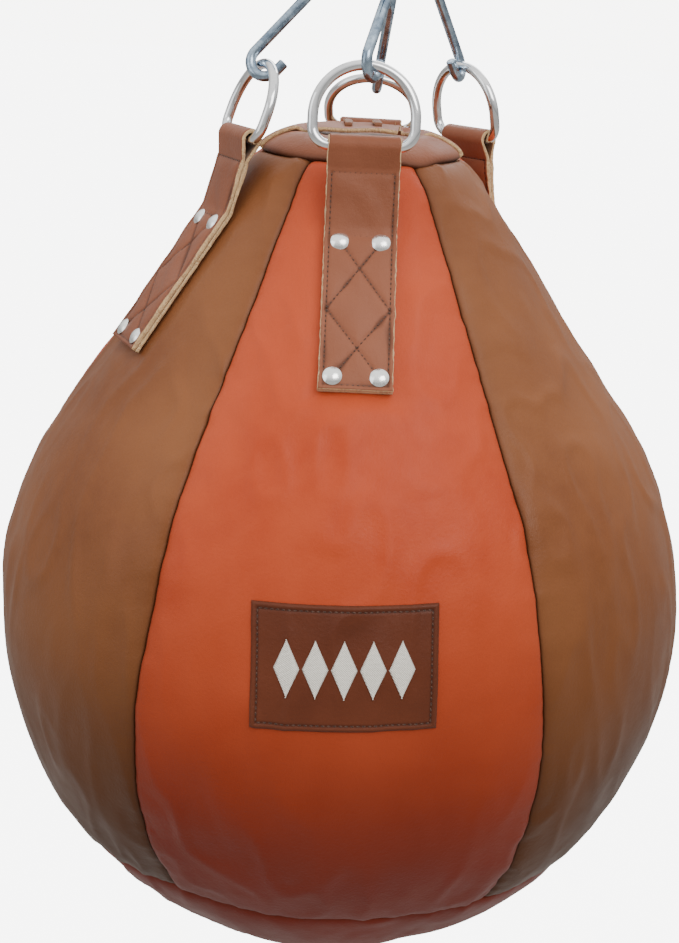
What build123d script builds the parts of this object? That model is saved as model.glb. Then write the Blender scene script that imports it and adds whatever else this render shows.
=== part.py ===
from build123d import *
from math import acos, asin, atan2, cos, degrees, radians, sin, sqrt
import os

# Pear-shaped leather heavy bag, hung by four riveted straps, D-rings and S-hooks.
# Millimetres, +Z up, the front of the bag faces -Y. The origin is the hang point: it is on
# the bag's axis, level with the top bends of the S-hooks. An azimuth is in degrees from the
# front, positive towards +X. "Depth" is measured inward from the leather's outer surface.

# ---- bag outline --------------------------------------------------------------------
BAG_RADIUS = 250.0           # widest radius
WIDEST_Z = -460.0            # height of the widest circle
BELLY_ARC = 270.0            # arc radius of the belly, seen from the side
FLANK_SLOPE = 35.5           # lean of the straight flank from the vertical
FLANK_LENGTH = 196.0         # straight run from the belly up to the shoulder
SHOULDER_ARC = 120.0
SHOULDER_END = 47.0          # direction of the shoulder's normal at the crown seam
TURN_START = -44.0           # where the belly turns under
TURN_ARC = 108.0
BOTTOM_ARC = 305.0           # nearly flat underside
CAP_SEAM = -34.5             # where the gores meet the bottom cap, as an angle on the belly
GIRTH_BAND = 0.35            # half of the narrow straight band round the widest circle, as an angle

# ---- leather, lining and filling ------------------------------------------------------
LEATHER = 2.5
FIT_GAP = 0.2                # air between layers that lie on each other
LINING = 1.2
GORE_ANGLE = 60.0
SEAM_ANGLE = 0.05            # half of the hairline gap between two gores
GORES = {"front": 0, "front_right": 60, "back_right": 120,
         "back": 180, "back_left": -120, "front_left": -60}

# ---- crown and its closure --------------------------------------------------------------
CROWN_LEATHER = 3.0
CROWN_RISE = 13.5            # from the crown seam up to the rim of the mouth
CROWN_TAPER = 11.5           # from the crown seam in to the edge of its flat top
CROWN_FILLET = 14.0
MOUTH_RADIUS = 33.0
MOUTH_DISC_RADIUS = 41.0
FLAP = (64.0, 52.0, 3.0)     # width, depth and thickness
FLAP_SHIFT = -5.0            # of its middle from the axis
LACE_WIDTH = 5.0
LACE_THICK = 1.6
LACE_SPAN = 24.0             # front to back, between its two holes
LACE_PITCH = 20.0            # between the two turns of lace
LACE_FILLET = 0.5
SLOT_ROOM = 0.6
FLAP_CORNER = 4.0

# ---- straps and rivets ---------------------------------------------------------------------
STRAPS = {"front": 0, "right": 125, "back": 175, "left": -66}
STRAP_WIDTH = 46.0
STRAP_PLY = 2.8
STRAP_START = 57.5           # lower end, measured up the flank
STRAP_BEND = 167.5           # where it leaves the flank, measured up the flank
STRAP_BEND_RADIUS = 16.0
STRAP_LEAN = {"front": 11, "right": 10, "back": 10, "left": 17}    # of the free part, inward
STRAP_RISE = {"front": 52.0, "right": 48.5, "back": 48.0, "left": 50.5}    # from bend to bar
LOOP_GAP = 1.1               # between the ring's bar and the leather folded over it
NECK_DROP = 14.0             # from the bar down to where the two plies meet
NECK_RADIUS = 12.0
LOWER_RIVETS = (29.0, 66.0)  # spacing, and height up the flank
UPPER_RIVETS = (26.0, 157.5)
RIVET_HEAD = 6.0
RIVET_HEAD_HEIGHT = 2.4
RIVET_DOME = 9.5             # radius of the domed top
RIVET_SHANK = 2.2
RIVET_HOLE = 2.3
WASHER_DEPTH = 8.0           # outer face of the inner washers, below the leather's surface
WASHER_RADIUS = 5.5
WASHER_THICK = 1.2
RIVET_TAIL = 3.8
RIVET_TAIL_THICK = 1.2
BACKING_WIDTH = 50.0
BACKING_MARGIN = 12.0        # beyond the rivets, at each end
POCKET_DEPTH = 12.0          # dent in the filling behind each backing patch
POCKET_ROOM = 2.0            # the dent's extra width and length

# ---- label ------------------------------------------------------------------------------------
LABEL_WIDTH = 112.0
LABEL_ARC = (3.8, 19.2)      # lower and upper edge, as angles on the belly
LABEL_THICK = 2.0

# ---- D-rings and S-hooks ------------------------------------------------------------------------
RING_WIRE = 3.4              # radius
RING_INSIDE = 58.4           # clear width
RING_HEIGHT = 50.5           # from the bar's axis to the top of the ring's centreline
RING_CORNER = 11.5
RING_LEAN = {"front": 12, "right": 11, "back": 41, "left": 20}
RING_SLIDE = {"front": -1.0, "right": 2.0, "back": -1.0, "left": 0.0}    # along the strap's fold
HOOK_ROD = 3.5               # radius
HOOK_LENGTH = 80.0
HOOK_BEND = 10.0             # centreline radius of both bends
HOOK_TIP = 8.0               # straight end of both bends
HOOK_CHAMFER = 0.6
HOOK_GAP = {"front": 0.4, "right": 1.0, "back": 0.3, "left": 1.5}    # clear of the ring
HOOK_PLACE = {"front": 6, "right": 9, "back": -8, "left": -5}    # along the ring's top, in degrees
HOOK_LEAN = {"front": 20, "right": 14, "back": 12, "left": 25}
HOOK_TWIST = {"front": -24, "right": 35, "back": 0, "left": -38}

# ---- derived -----------------------------------------------------------------------------
LINING_DEPTH = LEATHER + FIT_GAP
FILL_DEPTH = LINING_DEPTH + LINING + FIT_GAP
STRAP_MIDDLE = FIT_GAP + STRAP_PLY + FIT_GAP / 2      # between the plies, above the leather
STRAP_TOP = FIT_GAP + 2 * STRAP_PLY + FIT_GAP         # outer face, above the leather


def polar(centre, radius, angle):
    """Point at an angle on a circle in the radial plane."""
    return (centre[0] + radius * cos(radians(angle)), centre[1] + radius * sin(radians(angle)))


belly_centre = (BAG_RADIUS - BELLY_ARC, WIDEST_Z)
turn_centre = polar(belly_centre, BELLY_ARC - TURN_ARC, TURN_START)
bottom_drop = sqrt((BOTTOM_ARC - TURN_ARC) ** 2 - turn_centre[0] ** 2)
bottom_centre = (0.0, turn_centre[1] + bottom_drop)
turn_end = degrees(atan2(-bottom_drop, turn_centre[0]))
flank_foot = polar(belly_centre, BELLY_ARC, FLANK_SLOPE)
flank_top = polar(flank_foot, FLANK_LENGTH, 90 + FLANK_SLOPE)
shoulder_centre = polar(flank_top, -SHOULDER_ARC, FLANK_SLOPE)

# Crown: the collar's foot and rim in the radial plane, and the layers stacked at the mouth.
crown_foot = polar(shoulder_centre, SHOULDER_ARC, SHOULDER_END + 2 * SEAM_ANGLE)
rim_top = crown_foot[1] + CROWN_RISE
crown_rim = (crown_foot[0] - CROWN_TAPER, rim_top)
disc_bottom = rim_top - 2 * CROWN_LEATHER - FIT_GAP
fill_top = disc_bottom - 2 * FIT_GAP
flap_bottom = rim_top + FIT_GAP
lace_bottom = flap_bottom + FLAP[2] + FIT_GAP

# Straps: their lower end and the corner where they leave the flank, in the radial plane.
strap_foot = polar(flank_foot, STRAP_START, 90 + FLANK_SLOPE)
strap_top = polar(flank_foot, STRAP_BEND, 90 + FLANK_SLOPE)
strap_corner = polar(strap_top, STRAP_MIDDLE, FLANK_SLOPE)
loop_core = RING_WIRE + LOOP_GAP - FIT_GAP / 2
neck_angle = degrees(asin(loop_core / NECK_DROP))
backing_middle = (LOWER_RIVETS[1] + UPPER_RIVETS[1]) / 2
backing_length = UPPER_RIVETS[1] - LOWER_RIVETS[1] + 2 * BACKING_MARGIN
tail_top = -WASHER_DEPTH - WASHER_THICK
tail_bottom = tail_top - RIVET_TAIL_THICK

# D-rings and S-hooks: both are drawn in their own plane.
ring_side = RING_INSIDE / 2 + RING_WIRE
ring_leg = RING_HEIGHT - ring_side
hook_centre = HOOK_LENGTH / 2 - HOOK_ROD - HOOK_BEND
shaft_angle = degrees(asin(HOOK_BEND / hook_centre))
hook_reach = hook_centre + HOOK_BEND - HOOK_ROD - RING_WIRE

# The outline from the underside up: each arc's centre, radius, first and last angle. The
# straight flank is what joins the belly to the shoulder.
bottom_arc = (bottom_centre, BOTTOM_ARC, -90, turn_end)
turn_arc = (turn_centre, TURN_ARC, turn_end, TURN_START)
cap_arc = (belly_centre, BELLY_ARC, TURN_START, CAP_SEAM - SEAM_ANGLE)
under_arc = (belly_centre, BELLY_ARC, CAP_SEAM + SEAM_ANGLE, -GIRTH_BAND)
over_arc = (belly_centre, BELLY_ARC, GIRTH_BAND, FLANK_SLOPE)
belly_arc = (belly_centre, BELLY_ARC, TURN_START, FLANK_SLOPE)
shoulder_arc = (shoulder_centre, SHOULDER_ARC, FLANK_SLOPE, SHOULDER_END)
label_arc = (belly_centre, BELLY_ARC, *LABEL_ARC)


def radial(azimuth):
    """Unit vector that points outward at an azimuth."""
    return Vector(sin(radians(azimuth)), -cos(radians(azimuth)), 0)


def sideways(azimuth):
    """Unit vector along the bag's girth at an azimuth."""
    return Vector(cos(radians(azimuth)), sin(radians(azimuth)), 0)


def upward(azimuth, lean):
    """Unit vector that points up and leans towards the bag's axis."""
    return radial(azimuth) * -sin(radians(lean)) + Vector(0, 0, 1) * cos(radians(lean))


def at(azimuth, point):
    """A radius and height in space."""
    return radial(azimuth) * point[0] + Vector(0, 0, point[1])


def radial_plane(azimuth):
    """Plane through the axis, with x outward and y up."""
    return Plane(origin=(0, 0, 0), x_dir=radial(azimuth), z_dir=-sideways(azimuth))


def flank_plane(azimuth):
    """Plane on the leather's outer surface: x sideways, y up the flank from its foot."""
    outward = radial(azimuth) * cos(radians(FLANK_SLOPE)) + Vector(0, 0, sin(radians(FLANK_SLOPE)))
    return Plane(origin=at(azimuth, flank_foot), x_dir=sideways(azimuth), z_dir=outward)


def bar_of(place):
    """Centre of the ring's bar in the radial plane of its strap."""
    return polar(strap_corner, STRAP_RISE[place], 90 + STRAP_LEAN[place])


def apart(first, second):
    """Smallest angle between two azimuths."""
    return abs((first - second + 180) % 360 - 180)


def trace(arcs, depth):
    """Draw the outline at a depth in the current line, and return its two ends."""
    turns = [[polar(centre, radius - depth, angle) for angle in (first, (first + last) / 2, last)]
             for centre, radius, first, last in arcs]
    for turn in turns:
        ThreePointArc(*turn)
    for turn, after in zip(turns, turns[1:]):
        if (Vector(turn[2]) - Vector(after[0])).length > LEATHER:
            Line(turn[2], after[0])
    return turns[0][0], turns[-1][2]


def strip(azimuth, arcs, outer, inner):
    """Cross-section of a layer that follows the outline between two depths."""
    with BuildSketch(radial_plane(azimuth)) as section:
        with BuildLine():
            outer_start, outer_end = trace(arcs, outer)
            inner_start, inner_end = trace(arcs, inner)
            Line(outer_start, inner_start)
            Line(outer_end, inner_end)
        make_face()
    return section.sketch


def rivet_planes(azimuth, height=0):
    """Planes square to a strap's four rivets, at a height above the leather."""
    face = flank_plane(azimuth)
    return [Plane(origin=face.from_local_coords((side * spacing / 2, along, height)),
                  x_dir=face.x_dir, z_dir=face.z_dir)
            for spacing, along in (LOWER_RIVETS, UPPER_RIVETS) for side in (-1, 1)]


def finish(piece, name):
    """Label a finished piece and write it out."""
    piece.part.label = name
    export_step(piece.part, f"parts/{name}.step")


os.makedirs("parts", exist_ok=True)

# ---- body: six gores, bottom cap, lining and filling --------------------------------------
side_arcs = (under_arc, over_arc, shoulder_arc)
inner_arcs = (bottom_arc, turn_arc, belly_arc, shoulder_arc)

for place, azimuth in GORES.items():
    with BuildPart() as gore:
        edge = azimuth - GORE_ANGLE / 2 + SEAM_ANGLE
        revolve(strip(edge, side_arcs, 0, LEATHER), Axis.Z, GORE_ANGLE - 2 * SEAM_ANGLE)
        for strap_azimuth in STRAPS.values():
            if apart(strap_azimuth, azimuth) < GORE_ANGLE / 2:
                with Locations(*rivet_planes(strap_azimuth)):
                    Cylinder(RIVET_HOLE, 2 * POCKET_DEPTH, mode=Mode.SUBTRACT)
    finish(gore, f"gore_{place}")

with BuildPart() as bottom_cap:
    revolve(strip(0, (bottom_arc, turn_arc, cap_arc), 0, LEATHER), Axis.Z)
finish(bottom_cap, "bottom_cap")

with BuildPart() as lining:
    revolve(strip(0, inner_arcs, LINING_DEPTH, LINING_DEPTH + LINING), Axis.Z)
    for azimuth in STRAPS.values():
        with Locations(*rivet_planes(azimuth)):
            Cylinder(RIVET_HOLE, 2 * POCKET_DEPTH, mode=Mode.SUBTRACT)
finish(lining, "lining")

with BuildPart() as filling:
    with BuildSketch(radial_plane(0)):
        with BuildLine():
            fill_bottom, fill_shoulder = trace(inner_arcs, FILL_DEPTH)
            Polyline(fill_shoulder, (MOUTH_DISC_RADIUS, fill_top), (0, fill_top), fill_bottom)
        make_face()
    revolve(axis=Axis.Z)
    for azimuth in STRAPS.values():
        with BuildSketch(flank_plane(azimuth).offset(-POCKET_DEPTH)):
            with Locations((0, backing_middle)):
                Rectangle(BACKING_WIDTH + POCKET_ROOM, backing_length + POCKET_ROOM)
        extrude(amount=POCKET_DEPTH, mode=Mode.SUBTRACT)
finish(filling, "filling")

# ---- crown: collar, mouth disc, closing flap and its lace -------------------------------------
with BuildPart() as crown_collar:
    with BuildSketch(radial_plane(0)):
        with BuildLine():
            FilletPolyline(crown_foot, crown_rim, (MOUTH_RADIUS, rim_top), radius=CROWN_FILLET)
            offset(amount=CROWN_LEATHER, side=Side.LEFT)
        make_face()
    revolve(axis=Axis.Z)
finish(crown_collar, "crown_collar")


def lace_slots():
    """Cut the four slots that the lace passes through in the current piece."""
    with Locations(*[(x, y, rim_top) for x in (-LACE_PITCH / 2, LACE_PITCH / 2)
                     for y in (-LACE_SPAN / 2, LACE_SPAN / 2)]):
        Box(LACE_WIDTH + SLOT_ROOM, LACE_THICK + SLOT_ROOM, LACE_SPAN, mode=Mode.SUBTRACT)


with BuildPart() as mouth_disc:
    with BuildSketch(Plane.XY.offset(disc_bottom)):
        Circle(MOUTH_DISC_RADIUS)
    extrude(amount=CROWN_LEATHER)
    lace_slots()
finish(mouth_disc, "mouth_disc")

with BuildPart() as closing_flap:
    with BuildSketch(Plane.XY.offset(flap_bottom)):
        with Locations((FLAP_SHIFT, 0)):
            RectangleRounded(FLAP[0], FLAP[1], FLAP_CORNER)
    extrude(amount=FLAP[2])
    lace_slots()
finish(closing_flap, "closing_flap")

with BuildPart() as lace_turn:
    with BuildSketch(Plane.YZ):
        with BuildLine():
            half = LACE_SPAN / 2 - LACE_THICK / 2
            FilletPolyline((-half, disc_bottom), (-half, lace_bottom), (half, lace_bottom),
                           (half, disc_bottom), radius=LACE_FILLET)
            offset(amount=LACE_THICK, side=Side.LEFT)
        make_face()
    extrude(amount=LACE_WIDTH / 2, both=True)

with BuildPart() as closing_lace:
    with Locations((-LACE_PITCH / 2, 0, 0), (LACE_PITCH / 2, 0, 0)):
        add(lace_turn.part)
finish(closing_lace, "closing_lace")

# ---- label patch on the front gore ----------------------------------------------------------
with BuildPart() as label_patch:
    revolve(strip(-GORE_ANGLE / 2, (label_arc,), -FIT_GAP - LABEL_THICK, -FIT_GAP),
            Axis.Z, GORE_ANGLE)
    with BuildSketch(Plane.XZ):
        with Locations((0, WIDEST_Z)):
            Rectangle(LABEL_WIDTH, BAG_RADIUS)
    extrude(amount=2 * BAG_RADIUS, mode=Mode.INTERSECT)
finish(label_patch, "label_patch")

# ---- one rivet, standing on the leather's surface ---------------------------------------------
with BuildPart() as rivet:
    with BuildSketch(Plane.XZ):
        with BuildLine():
            crest = (0, STRAP_TOP + RIVET_HEAD_HEIGHT)
            dome_centre = (0, crest[1] - RIVET_DOME)
            rim_angle = degrees(acos(RIVET_HEAD / RIVET_DOME))
            rim = polar(dome_centre, RIVET_DOME, rim_angle)
            Polyline(crest, (0, tail_bottom), (RIVET_TAIL, tail_bottom), (RIVET_TAIL, tail_top),
                     (RIVET_SHANK, tail_top), (RIVET_SHANK, STRAP_TOP), (RIVET_HEAD, STRAP_TOP), rim)
            ThreePointArc(rim, polar(dome_centre, RIVET_DOME, (rim_angle + 90) / 2), crest)
        make_face()
    revolve(axis=Axis.Z)

# ---- straps, each with its backing patch, rivets and washers -----------------------------------

def strap_leg(place, side, reach):
    """One face of a ply, from the strap's lower end up to the bar, and its two ends."""
    lean = STRAP_LEAN[place]
    bar = bar_of(place)
    half_bend = (FLANK_SLOPE - lean) / 2
    start = polar(strap_foot, STRAP_MIDDLE + side * reach, FLANK_SLOPE)
    bend = polar(strap_corner, side * reach / cos(radians(half_bend)), lean + half_bend)
    neck = polar(polar(bar, -NECK_DROP, 90 + lean),
                 side * reach / cos(radians(neck_angle / 2)), lean - side * neck_angle / 2)
    touch = polar(bar, loop_core + reach, lean + 90 - side * (90 + neck_angle))
    FilletPolyline(start, bend, neck, touch,
                   radius=[STRAP_BEND_RADIUS - side * reach, NECK_RADIUS - reach])
    return start, touch


for place, azimuth in STRAPS.items():
    with BuildPart() as strap:
        with BuildSketch(radial_plane(azimuth)):
            with BuildLine():
                lower_ends = []
                for reach in (FIT_GAP / 2, FIT_GAP / 2 + STRAP_PLY):
                    outer_start, outer_touch = strap_leg(place, 1, reach)
                    inner_start, inner_touch = strap_leg(place, -1, reach)
                    over = polar(bar_of(place), loop_core + reach, 90 + STRAP_LEAN[place])
                    ThreePointArc(outer_touch, over, inner_touch)
                    lower_ends.append((outer_start, inner_start))
                Line(lower_ends[0][0], lower_ends[1][0])
                Line(lower_ends[0][1], lower_ends[1][1])
            make_face()
        extrude(amount=STRAP_WIDTH / 2, both=True)
        with Locations(*rivet_planes(azimuth)):
            Cylinder(RIVET_HOLE, 2 * POCKET_DEPTH, mode=Mode.SUBTRACT)
    finish(strap, f"strap_{place}")

    with BuildPart() as backing:
        revolve(strip(azimuth - GORE_ANGLE / 3, side_arcs, FILL_DEPTH, FILL_DEPTH + LEATHER),
                Axis.Z, 2 * GORE_ANGLE / 3)
        with BuildSketch(flank_plane(azimuth)):
            with Locations((0, backing_middle)):
                Rectangle(BACKING_WIDTH, backing_length)
        extrude(amount=2 * POCKET_DEPTH, both=True, mode=Mode.INTERSECT)
        with Locations(*rivet_planes(azimuth)):
            Cylinder(RIVET_HOLE, 2 * POCKET_DEPTH, mode=Mode.SUBTRACT)
    finish(backing, f"strap_backing_{place}")

    with BuildPart() as rivets:
        with Locations(*rivet_planes(azimuth)):
            add(rivet.part)
    finish(rivets, f"rivets_{place}")

    with BuildPart() as washers:
        with Locations(*rivet_planes(azimuth, -WASHER_DEPTH - WASHER_THICK / 2)):
            Cylinder(WASHER_RADIUS, WASHER_THICK)
            Cylinder(RIVET_HOLE, WASHER_THICK, mode=Mode.SUBTRACT)
    finish(washers, f"rivet_washers_{place}")

# ---- D-rings and S-hooks ---------------------------------------------------------------------------
for place, azimuth in STRAPS.items():
    across = sideways(azimuth)
    ring_up = upward(azimuth, RING_LEAN[place])
    ring_face = across.cross(ring_up)
    bar_middle = at(azimuth, bar_of(place)) + across * RING_SLIDE[place]
    with BuildPart() as d_ring:
        with BuildLine(Plane(origin=bar_middle, x_dir=across, z_dir=ring_face)) as loop:
            CenterArc((0, ring_leg), ring_side, 0, 180)
            FilletPolyline((-ring_side, ring_leg), (-ring_side, 0), (ring_side, 0),
                           (ring_side, ring_leg), radius=RING_CORNER)
        with BuildSketch(Plane(origin=loop.wire() @ 0, z_dir=loop.wire() % 0)):
            Circle(RING_WIRE)
        sweep(path=loop.wire())
    finish(d_ring, f"d_ring_{place}")

    # A hook hangs square to the ring's wire, at its place along the ring's top.
    swing = Axis((0, 0, 0), ring_face)
    top_of_ring = bar_middle + ring_up * ring_leg + ring_up.rotate(swing, -HOOK_PLACE[place]) * ring_side
    hook_up = upward(azimuth, HOOK_LEAN[place]).rotate(swing, -HOOK_PLACE[place])
    hook_across = across.rotate(swing, -HOOK_PLACE[place])
    hook_out = hook_across.cross(hook_up).rotate(Axis((0, 0, 0), hook_up), HOOK_TWIST[place])
    hook_middle = top_of_ring + hook_up * (hook_reach - HOOK_GAP[place])
    with BuildPart() as s_hook:
        with BuildLine(Plane(origin=hook_middle, x_dir=hook_out, z_dir=hook_out.cross(hook_up))) as bent:
            lower = CenterArc((0, -hook_centre), HOOK_BEND, 180 + shaft_angle, 180)
            upper = CenterArc((0, hook_centre), HOOK_BEND, shaft_angle, 180)
            Line(lower @ 1, upper @ 1)
            Line(lower @ 0, lower @ 0 - (lower % 0) * HOOK_TIP)
            Line(upper @ 0, upper @ 0 - (upper % 0) * HOOK_TIP)
        with BuildSketch(Plane(origin=bent.wire() @ 0, z_dir=bent.wire() % 0)):
            Circle(HOOK_ROD)
        sweep(path=bent.wire())
        chamfer(s_hook.faces().filter_by(GeomType.PLANE).edges(), HOOK_CHAMFER)
    finish(s_hook, f"s_hook_{place}")
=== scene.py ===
from math import acos, asin, atan2, cos, degrees, pi, radians, sin, sqrt

import bpy
import numpy as np
from mathutils import Matrix, Vector, noise


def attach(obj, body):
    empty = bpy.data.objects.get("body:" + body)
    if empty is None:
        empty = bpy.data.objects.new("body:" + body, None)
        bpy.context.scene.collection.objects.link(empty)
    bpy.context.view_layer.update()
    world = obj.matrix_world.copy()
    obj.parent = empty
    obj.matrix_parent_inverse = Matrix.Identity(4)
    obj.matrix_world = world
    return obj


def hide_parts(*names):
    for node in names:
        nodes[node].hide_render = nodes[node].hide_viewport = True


# Heavy punching bag. Shapes are worked out in millimetres, in the CAD model's frame: +Z up,
# front -Y, origin at the hang point. Azimuths are in degrees from the front, towards +X.

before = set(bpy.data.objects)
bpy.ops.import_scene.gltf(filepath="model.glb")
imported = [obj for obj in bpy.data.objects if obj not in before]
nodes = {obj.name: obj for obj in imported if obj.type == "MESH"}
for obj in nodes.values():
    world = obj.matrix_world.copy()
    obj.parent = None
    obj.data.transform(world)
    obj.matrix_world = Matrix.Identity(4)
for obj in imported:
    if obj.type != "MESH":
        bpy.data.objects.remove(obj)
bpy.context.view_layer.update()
MM = 0.001
UP = np.array([0, 0, 1.0])

# ---- sizes repeated from the CAD part ------------------------------------------------------------
BAG_RADIUS, WIDEST_Z, BELLY_ARC = 250.0, -460.0, 270.0
FLANK_SLOPE, FLANK_LENGTH = 35.5, 196.0
SHOULDER_ARC, SHOULDER_END = 120.0, 47.0
TURN_START, TURN_ARC, BOTTOM_ARC, CAP_SEAM = -44.0, 108.0, 305.0, -34.5
GORES = ("front", "front_right", "back_right", "back", "back_left", "front_left")
ORANGE_GORES = ("front", "back_right", "back_left")
STRAPS = {"front": 0, "right": 125, "back": 175, "left": -66}
STRAP_LEAN = {"front": 11, "right": 10, "back": 10, "left": 17}
STRAP_RISE = {"front": 52.0, "right": 48.5, "back": 48.0, "left": 50.5}
STRAP_WIDTH, STRAP_PLY, STRAP_START, STRAP_BEND = 46.0, 2.8, 57.5, 167.5
STRAP_BEND_RADIUS, NECK_DROP, NECK_RADIUS = 16.0, 14.0, 12.0
FIT_GAP, LOOP_CORE = 0.2, 4.4
STRAP_MIDDLE = FIT_GAP + STRAP_PLY + FIT_GAP / 2
LOWER_RIVETS, UPPER_RIVETS = (29.0, 66.0), (26.0, 157.5)
LABEL_WIDTH, LABEL_ARC, LABEL_THICK = 112.0, (3.8, 19.2), 2.0
FLAP, FLAP_SHIFT = (64.0, 52.0), -5.0
LACE_SPAN, LACE_PITCH, LACE_WIDTH = 24.0, 20.0, 5.0


# ---- how the stuffed leather is drawn in: pairs of depth and reach, and sizes of gathers ---------
COVER_FADE = 16.0                       # how far from a strap the leather is still held smooth
SEAM_DIPS, END_DIPS = ((2.1, 2.3), (1.3, 12.0)), ((2.1, 2.6), (0.8, 12.0))
CAP_DIPS = ((2.6, 3.4), (0.9, 12.0))
SEAM_PUCKERS, FOOT_PUCKERS = ((7.5, 0.0, 9.0, 0.5), (19.0, 4.4, 22.0, 0.7)), ((7.0, 2.2, 12.0, 0.55),)
CAP_PUCKERS = ((5.5, 0.0, 13.0, 0.6),)
GORE_CROWN, GORE_CROWN_REACH, END_CROWN_REACH = 1.5, 26.0, 30.0
CAP_CROWN, CAP_CROWN_REACH = 1.2, 35.0
TUCK, SEAM_GAP, LEATHER_THICK, FILL = 6.5, 0.25, 1.8, 0.95


def polar(centre, radius, angle):
    return (centre[0] + radius * cos(radians(angle)), centre[1] + radius * sin(radians(angle)))


belly_centre = (BAG_RADIUS - BELLY_ARC, WIDEST_Z)
turn_centre = polar(belly_centre, BELLY_ARC - TURN_ARC, TURN_START)
bottom_drop = sqrt((BOTTOM_ARC - TURN_ARC) ** 2 - turn_centre[0] ** 2)
bottom_centre = (0.0, turn_centre[1] + bottom_drop)
turn_end = degrees(atan2(-bottom_drop, turn_centre[0]))
flank_foot = polar(belly_centre, BELLY_ARC, FLANK_SLOPE)
flank_top = polar(flank_foot, FLANK_LENGTH, 90 + FLANK_SLOPE)
shoulder_centre = polar(flank_top, -SHOULDER_ARC, FLANK_SLOPE)
crown_foot = polar(shoulder_centre, SHOULDER_ARC, SHOULDER_END)
strap_foot = polar(flank_foot, STRAP_START, 90 + FLANK_SLOPE)
strap_top = polar(flank_foot, STRAP_BEND, 90 + FLANK_SLOPE)
strap_corner = polar(strap_top, STRAP_MIDDLE, FLANK_SLOPE)


# ---- the bag's outline, from the middle of the underside up to the crown seam --------------------
def arc(centre, radius, first, last):
    steps = max(6, int(abs(radians(last - first)) * radius / 1.5))
    return [polar(centre, radius, a) for a in np.linspace(first, last, steps)]


outline = arc(bottom_centre, BOTTOM_ARC, -90, turn_end)
outline += arc(turn_centre, TURN_ARC, turn_end, TURN_START)[1:]
outline += arc(belly_centre, BELLY_ARC, TURN_START, FLANK_SLOPE)[1:]
outline += [polar(flank_foot, d, 90 + FLANK_SLOPE) for d in np.linspace(0, FLANK_LENGTH, 120)][1:]
outline += arc(shoulder_centre, SHOULDER_ARC, FLANK_SLOPE, SHOULDER_END)[1:]
outline = np.array(outline)
steps = np.hypot(*np.diff(outline, axis=0).T)
run = np.concatenate([[0], np.cumsum(steps)])
slope = np.gradient(outline, run, axis=0)
slope /= np.linalg.norm(slope, axis=1)[:, None]
lower_run = BOTTOM_ARC * radians(turn_end + 90) + TURN_ARC * radians(TURN_START - turn_end)


def run_at(angle):
    """Distance along the outline of an angle on the belly's arc."""
    return lower_run + BELLY_ARC * radians(angle - TURN_START)


CAP_RUN, FLANK_RUN, END_RUN = run_at(CAP_SEAM), run_at(FLANK_SLOPE), run[-1]


def directions(azimuth):
    a = np.radians(azimuth)
    zero = np.zeros_like(a)
    return (np.stack([np.sin(a), -np.cos(a), zero], -1), np.stack([np.cos(a), np.sin(a), zero], -1))


def skin(azimuth, along, lift):
    """Points at a height above the leather's plain surface."""
    r, z = np.interp(along, run, outline[:, 0]), np.interp(along, run, outline[:, 1])
    tr, tz = np.interp(along, run, slope[:, 0]), np.interp(along, run, slope[:, 1])
    out, _ = directions(azimuth)
    return out * (r + tz * lift)[..., None] + UP * (z - tr * lift)[..., None]


def wave(points, size, seed=0.0):
    """Smooth noise between about -1 and 1 at each point, with features of a size in mm."""
    flat = np.asarray(points, float).reshape(-1, 3) / size + seed
    value = np.array([noise.noise(Vector(p)) for p in flat])
    return value.reshape(np.shape(points)[:-1]) * 1.6


def smooth(t):
    t = np.clip(t, 0, 1)
    return t * t * (3 - 2 * t)


def fade(distance, reach):
    """1 at a line, falling away with distance from it."""
    return np.exp(-distance / reach)


def dips(distance, pairs):
    """Depth of the dips towards a line, from pairs of depth and reach."""
    return sum(depth * fade(distance, reach) for depth, reach in pairs)


def puckers(line, distance, waves):
    """Gathers along a line, from the size, seed, reach and height of each."""
    return sum(wave(line, size, seed) * fade(distance, reach) * height
               for size, seed, reach, height in waves)


def strap_cover(azimuth, along):
    """1 where a strap lies on the leather, 0 away from it."""
    r = np.interp(along, run, outline[:, 0])
    cover = np.zeros_like(r)
    for place in STRAPS.values():
        turn = np.radians((azimuth - place + 180) % 360 - 180)
        side = np.abs(turn) * r - STRAP_WIDTH / 2
        low = FLANK_RUN + STRAP_START - along
        reach = np.maximum(side, low)
        cover = np.maximum(cover, 1 - smooth(reach / COVER_FADE))
    return cover


def relief(azimuth, along):
    """Soft unevenness of the stuffed leather."""
    base = skin(azimuth, along, np.zeros_like(azimuth))
    bulk = 1.5 * wave(base, 120) + 0.7 * wave(base, 46, 7.3)
    stretched = base * np.array([1, 1, 0.33])
    folds = 1 - np.abs(wave(stretched, 27, 3.1))
    folds = 2.0 * np.maximum(folds - 0.5, 0) * (1 + wave(base, 90, 5.5))
    tight = 1 - 0.93 * strap_cover(azimuth, along)
    return (bulk + folds) * tight - 0.2


# ---- mesh helpers --------------------------------------------------------------------------------
def mesh_object(name, verts, faces, materials, material_index=None, values=None):
    mesh = bpy.data.meshes.new(name)
    mesh.from_pydata((np.asarray(verts) * MM).tolist(), [], [tuple(map(int, f)) for f in faces])
    for m in materials:
        mesh.materials.append(m)
    if material_index is not None:
        mesh.polygons.foreach_set("material_index", np.asarray(material_index, np.int32))
    for key, value in (values or {}).items():
        layer = mesh.attributes.new(key, "FLOAT", "POINT")
        layer.data.foreach_set("value", np.asarray(value, np.float32).ravel())
    mesh.polygons.foreach_set("use_smooth", [True] * len(mesh.polygons))
    mesh.update()
    obj = bpy.data.objects.new(name, mesh)
    bpy.context.scene.collection.objects.link(obj)
    return obj


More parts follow.
